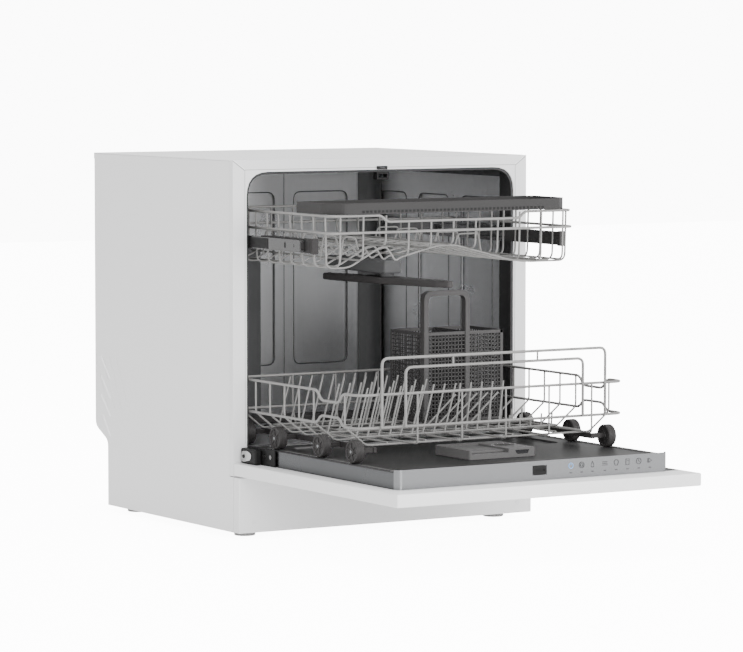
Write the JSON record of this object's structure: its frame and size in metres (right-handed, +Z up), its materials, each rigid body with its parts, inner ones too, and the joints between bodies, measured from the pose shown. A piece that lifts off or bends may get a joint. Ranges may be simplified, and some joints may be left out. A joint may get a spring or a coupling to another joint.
{
  "type": "countertop dishwasher",
  "caption": "Compact dishwasher for a worktop with a drop-down door, two sliding wire racks, a cutlery shelf, a cutlery basket and spray arms.",
  "frame": {"origin": "middle of the footprint of the open machine, on the surface it stands on", "axes": "+X to the right as seen from the front, +Y towards the back, +Z up"},
  "size_m": [0.55, 0.959, 0.595],
  "materials": {
    "white_sheet": "smooth satin white",
    "steel": "brushed stainless",
    "chrome": "polished",
    "dark_plastic": "fine grained",
    "black_rubber": "matt",
    "grey_plastic": "matt",
    "coated_wire": "smooth coating on steel wire"
  },
  "bodies": {
    "cabinet": {"side_panel_left": "white_sheet", "side_panel_right": "white_sheet", "top_panel": "white_sheet", "rear_panel": "white_sheet", "front_frame": "white_sheet", "plinth_panel": "white_sheet", "door_outer_panel": "white_sheet", "tub": "steel", "filter_plate": "steel", "door_liner": "steel", "control_strip": "steel", "fixed_rail_left": "chrome", "fixed_rail_right": "chrome", "hinge_arm_left": "chrome", "hinge_arm_right": "chrome", "circulation_pump": "dark_plastic", "drain_pump": "dark_plastic", "hose_ports": "dark_plastic", "latch_striker": "dark_plastic", "door_catch": "dark_plastic", "hinge_cover_left": "dark_plastic", "hinge_cover_right": "dark_plastic", "foot_front_left": "dark_plastic", "foot_front_right": "dark_plastic", "foot_rear_left": "dark_plastic", "foot_rear_right": "dark_plastic", "door_gasket": "black_rubber", "liner_edge_left": "black_rubber", "liner_edge_right": "black_rubber", "base_pan": "grey_plastic", "sump": "grey_plastic", "rear_feed_duct": "grey_plastic", "dispenser_body": "grey_plastic"},
    "upper_rack": {"upper_rack": "coated_wire", "cutlery_shelf": "dark_plastic", "rack_bracket_left": "dark_plastic", "rack_bracket_right": "dark_plastic", "upper_feed_duct": "grey_plastic"},
    "upper_arm": {"upper_spray_arm": "grey_plastic"},
    "rail_left": {"sliding_rail_left": "chrome"},
    "rail_right": {"sliding_rail_right": "chrome"},
    "lower_rack": {"lower_rack": "coated_wire", "front_guard": "coated_wire", "long_tine_rows": "coated_wire", "short_tine_rows": "coated_wire", "wheel_carrier_left": "grey_plastic", "wheel_carrier_right": "grey_plastic", "cutlery_basket": "dark_plastic"},
    "lower_arm": {"lower_spray_arm": "grey_plastic"},
    "lid": {"dispenser_lid": "grey_plastic"},
    "rinse_cap": {"rinse_cap": "dark_plastic"},
    "filter_cup": {"filter_cup": "grey_plastic"},
    "wheel_left_1": {"wheel_left_1": "grey_plastic"},
    "wheel_left_2": {"wheel_left_2": "grey_plastic"},
    "wheel_left_3": {"wheel_left_3": "grey_plastic"},
    "wheel_left_4": {"wheel_left_4": "grey_plastic"},
    "wheel_right_1": {"wheel_right_1": "grey_plastic"},
    "wheel_right_2": {"wheel_right_2": "grey_plastic"},
    "wheel_right_3": {"wheel_right_3": "grey_plastic"},
    "wheel_right_4": {"wheel_right_4": "grey_plastic"}
  },
  "joints": [
    {"name": "upper_rack_slide", "type": "slide", "parent": "cabinet", "child": "upper_rack", "axis": [0, 1, 0], "range_m": [0, 0.272]},
    {"name": "left_rail_slide", "type": "slide", "parent": "cabinet", "child": "rail_left", "axis": [0, 1, 0], "range_m": [0, 0.18224]},
    {"name": "right_rail_slide", "type": "slide", "parent": "cabinet", "child": "rail_right", "axis": [0, 1, 0], "range_m": [0, 0.18224]},
    {"name": "lower_rack_slide", "type": "slide", "parent": "cabinet", "child": "lower_rack", "axis": [0, 1, 0], "range_m": [0, 0.364]},
    {"name": "upper_arm_spin", "type": "hinge", "parent": "upper_rack", "child": "upper_arm", "pos_m": [0, -0.00347, 0.3995], "axis": [0, 0, 1], "continuous": true},
    {"name": "lower_arm_spin", "type": "hinge", "parent": "cabinet", "child": "lower_arm", "pos_m": [0, 0.23852, 0.16], "axis": [0, 0, 1], "continuous": true},
    {"name": "lid_slide", "type": "slide", "parent": "cabinet", "child": "lid", "axis": [0, -1, 0], "range_m": [0, 0.045]},
    {"name": "rinse_cap_turn", "type": "hinge", "parent": "cabinet", "child": "rinse_cap", "pos_m": [0.036, -0.29147, 0.158], "axis": [0, 0, 1], "range_deg": [0, 90]},
    {"name": "filter_turn", "type": "hinge", "parent": "cabinet", "child": "filter_cup", "pos_m": [0.036, 0.21652, 0.12], "axis": [0, 0, 1], "range_deg": [0, 60]},
    {"name": "wheel_left_1_roll", "type": "hinge", "parent": "lower_rack", "child": "wheel_left_1", "pos_m": [-0.231, -0.28747, 0.163], "axis": [1, 0, 0], "range_deg": [-1190, 10]},
    {"name": "wheel_left_2_roll", "type": "hinge", "parent": "lower_rack", "child": "wheel_left_2", "pos_m": [-0.231, -0.18948, 0.163], "axis": [1, 0, 0], "range_deg": [-1190, 10]},
    {"name": "wheel_left_3_roll", "type": "hinge", "parent": "lower_rack", "child": "wheel_left_3", "pos_m": [-0.231, -0.05647, 0.163], "axis": [1, 0, 0], "range_deg": [-1190, 10]},
    {"name": "wheel_left_4_roll", "type": "hinge", "parent": "lower_rack", "child": "wheel_left_4", "pos_m": [-0.231, 0.04152, 0.163], "axis": [1, 0, 0], "range_deg": [-1190, 10]},
    {"name": "wheel_right_1_roll", "type": "hinge", "parent": "lower_rack", "child": "wheel_right_1", "pos_m": [0.231, -0.28747, 0.163], "axis": [1, 0, 0], "range_deg": [-1190, 10]},
    {"name": "wheel_right_2_roll", "type": "hinge", "parent": "lower_rack", "child": "wheel_right_2", "pos_m": [0.231, -0.18948, 0.163], "axis": [1, 0, 0], "range_deg": [-1190, 10]},
    {"name": "wheel_right_3_roll", "type": "hinge", "parent": "lower_rack", "child": "wheel_right_3", "pos_m": [0.231, -0.05647, 0.163], "axis": [1, 0, 0], "range_deg": [-1190, 10]},
    {"name": "wheel_right_4_roll", "type": "hinge", "parent": "lower_rack", "child": "wheel_right_4", "pos_m": [0.231, 0.04152, 0.163], "axis": [1, 0, 0], "range_deg": [-1190, 10]}
  ],
  "couplings": [
    {"joint": "left_rail_slide", "follows": "upper_rack_slide", "ratio": 0.67},
    {"joint": "right_rail_slide", "follows": "upper_rack_slide", "ratio": 0.67},
    {"joint": "wheel_left_1_roll", "follows": "lower_rack_slide", "rad_per_m": -56.497},
    {"joint": "wheel_left_2_roll", "follows": "lower_rack_slide", "rad_per_m": -56.497},
    {"joint": "wheel_left_3_roll", "follows": "lower_rack_slide", "rad_per_m": -56.497},
    {"joint": "wheel_left_4_roll", "follows": "lower_rack_slide", "rad_per_m": -56.497},
    {"joint": "wheel_right_1_roll", "follows": "lower_rack_slide", "rad_per_m": -56.497},
    {"joint": "wheel_right_2_roll", "follows": "lower_rack_slide", "rad_per_m": -56.497},
    {"joint": "wheel_right_3_roll", "follows": "lower_rack_slide", "rad_per_m": -56.497},
    {"joint": "wheel_right_4_roll", "follows": "lower_rack_slide", "rad_per_m": -56.497}
  ]
}
